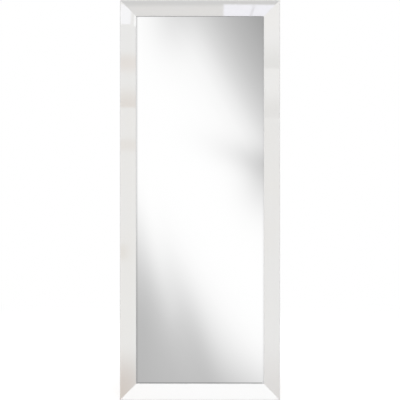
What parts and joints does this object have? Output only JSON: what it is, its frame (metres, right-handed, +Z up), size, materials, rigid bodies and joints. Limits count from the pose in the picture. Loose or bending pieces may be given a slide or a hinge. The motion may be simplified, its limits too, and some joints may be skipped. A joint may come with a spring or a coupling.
{
  "type": "wall mirror",
  "caption": "Tall rectangular wall mirror in a mitred gloss-white frame that slopes in to the glass, with swinging ring hangers and bumpers on its back.",
  "frame": {"origin": "on the wall plane, midway between the points where two level wall hooks bear in the rings of the upright mirror", "axes": "+X to the right of someone facing the mirror, +Y from the mirror's face towards the wall, +Z up"},
  "size_m": [0.6, 0.0361, 1.5],
  "materials": {
    "white_foil": "fibreboard wrapped in high-gloss white foil",
    "mirror_glass": "polished float glass, silvered on its back",
    "hardboard": "raw hardboard",
    "plain_steel": "blued strip",
    "zinc_steel": "zinc plated",
    "nickel_wire": "nickel plated",
    "bumper_rubber": "matt black rubber"
  },
  "bodies": {
    "mirror_frame": {"top_rail": "white_foil", "bottom_rail": "white_foil", "left_stile": "white_foil", "right_stile": "white_foil", "mirror_pane": "mirror_glass", "backing_board": "hardboard", "v_nails_bottom_left": "plain_steel", "v_nails_top_left": "plain_steel", "v_nails_top_right": "plain_steel", "v_nails_bottom_right": "plain_steel", "framer_points_left": "plain_steel", "hanger_strap_left": "zinc_steel", "hanger_screws_left": "zinc_steel", "framer_points_right": "plain_steel", "hanger_strap_right": "zinc_steel", "hanger_screws_right": "zinc_steel", "framer_points_top": "plain_steel", "hanger_strap_top": "zinc_steel", "hanger_screws_top": "zinc_steel", "framer_points_bottom": "plain_steel", "hanger_strap_bottom": "zinc_steel", "hanger_screws_bottom": "zinc_steel", "bumper_top_left": "bumper_rubber", "bumper_top_right": "bumper_rubber", "bumper_bottom_left": "bumper_rubber", "bumper_bottom_right": "bumper_rubber"},
    "ring_left": {"hanger_ring_left": "nickel_wire"},
    "ring_right": {"hanger_ring_right": "nickel_wire"},
    "ring_top": {"hanger_ring_top": "nickel_wire"},
    "ring_bottom": {"hanger_ring_bottom": "nickel_wire"}
  },
  "joints": [
    {"name": "ring_left_swing", "type": "hinge", "parent": "mirror_frame", "child": "ring_left", "pos_m": [-0.274, -0.0037, -0.0146], "axis": [-1, 0, 0], "range_deg": [-3, 172]},
    {"name": "ring_right_swing", "type": "hinge", "parent": "mirror_frame", "child": "ring_right", "pos_m": [0.274, -0.0037, -0.0146], "axis": [-1, 0, 0], "range_deg": [-3, 172]},
    {"name": "ring_top_swing", "type": "hinge", "parent": "mirror_frame", "child": "ring_top", "pos_m": [0.1354, -0.0037, 0.274], "axis": [0, 0, 1], "range_deg": [-3, 172]},
    {"name": "ring_bottom_swing", "type": "hinge", "parent": "mirror_frame", "child": "ring_bottom", "pos_m": [0.1354, -0.0037, -1.174], "axis": [0, 0, 1], "range_deg": [-3, 172]}
  ]
}
